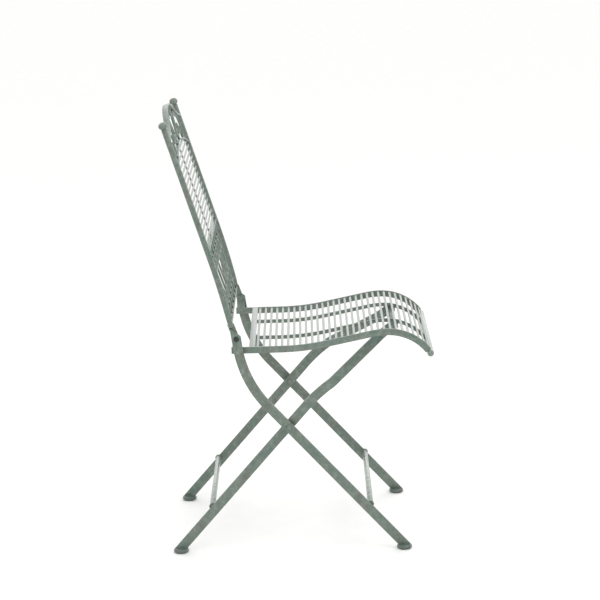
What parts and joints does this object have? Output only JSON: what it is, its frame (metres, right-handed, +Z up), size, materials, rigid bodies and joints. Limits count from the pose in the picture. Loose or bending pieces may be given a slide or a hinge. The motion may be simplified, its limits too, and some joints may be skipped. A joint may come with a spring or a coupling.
{
  "type": "folding garden chair",
  "caption": "Armless folding garden chair in painted wrought iron with crossed flat-bar legs, slatted seat and back, scrolled ornament and ball finials.",
  "frame": {"origin": "on the floor, under the middle of the open chair's bounding box", "axes": "+Z up; the sitter faces -Y; +X is the sitter's left; the chair is mirrored about X = 0"},
  "size_m": [0.4104, 0.5666, 0.946],
  "materials": {
    "frame_paint": "aged satin grey-green paint on wrought iron",
    "slat_paint": "aged satin grey-green paint on iron strip",
    "foot_paint": "worn satin grey-green paint",
    "rivet_iron": "dark iron under thin worn paint"
  },
  "bodies": {
    "frame": {"back_bottom_rail": "frame_paint", "back_centre_bar": "frame_paint", "back_rings": "frame_paint", "back_slat_01": "slat_paint", "back_slat_02": "slat_paint", "back_slat_03": "slat_paint", "back_slat_04": "slat_paint", "back_slat_05": "slat_paint", "back_slat_06": "slat_paint", "back_slat_07": "slat_paint", "back_slat_08": "slat_paint", "back_slat_09": "slat_paint", "back_slat_10": "slat_paint", "back_slat_11": "slat_paint", "back_slat_12": "slat_paint", "back_slat_13": "slat_paint", "back_slat_14": "slat_paint", "back_slat_15": "slat_paint", "back_slat_16": "slat_paint", "crest_band": "frame_paint", "crest_curl_left": "frame_paint", "crest_curl_right": "frame_paint", "crest_scroll_left": "frame_paint", "crest_scroll_right": "frame_paint", "cross_rivets": "rivet_iron", "cross_spacers": "rivet_iron", "finial_left": "frame_paint", "finial_right": "frame_paint", "front_crossbar": "frame_paint", "front_foot_left": "foot_paint", "front_foot_right": "foot_paint", "front_leg_left": "frame_paint", "front_leg_right": "frame_paint", "lower_scroll_1": "frame_paint", "lower_scroll_2": "frame_paint", "lower_scroll_3": "frame_paint", "lower_scroll_4": "frame_paint", "lower_scroll_5": "frame_paint", "lower_scroll_6": "frame_paint", "seat_pivot_rivets": "rivet_iron", "seat_pivot_washers": "rivet_iron", "slat_arch": "frame_paint", "slat_sill": "frame_paint", "upright_left": "frame_paint", "upright_right": "frame_paint"},
    "rear_legs": {"catch_rod": "frame_paint", "rear_crossbar": "frame_paint", "rear_foot_left": "foot_paint", "rear_foot_right": "foot_paint", "rear_leg_left": "frame_paint", "rear_leg_right": "frame_paint"},
    "seat": {"seat_front_rod": "frame_paint", "seat_hook_left": "frame_paint", "seat_hook_right": "frame_paint", "seat_rail_left": "frame_paint", "seat_rail_right": "frame_paint", "seat_rear_strip": "frame_paint", "seat_slats": "slat_paint", "seat_support_bar_left": "frame_paint", "seat_support_bar_right": "frame_paint"}
  },
  "joints": [
    {"name": "seat_fold", "type": "hinge", "parent": "frame", "child": "seat", "pos_m": [0, 0.13047, 0.4724], "axis": [-1, 0, 0], "range_deg": [0, 100]},
    {"name": "rear_leg_fold", "type": "hinge", "parent": "frame", "child": "rear_legs", "pos_m": [0, 0.02612, 0.277], "axis": [-1, 0, 0], "range_deg": [0, 66.4]}
  ],
  "couplings": [
    {"joint": "rear_leg_fold", "follows": "seat_fold", "ratio": 0.664}
  ]
}
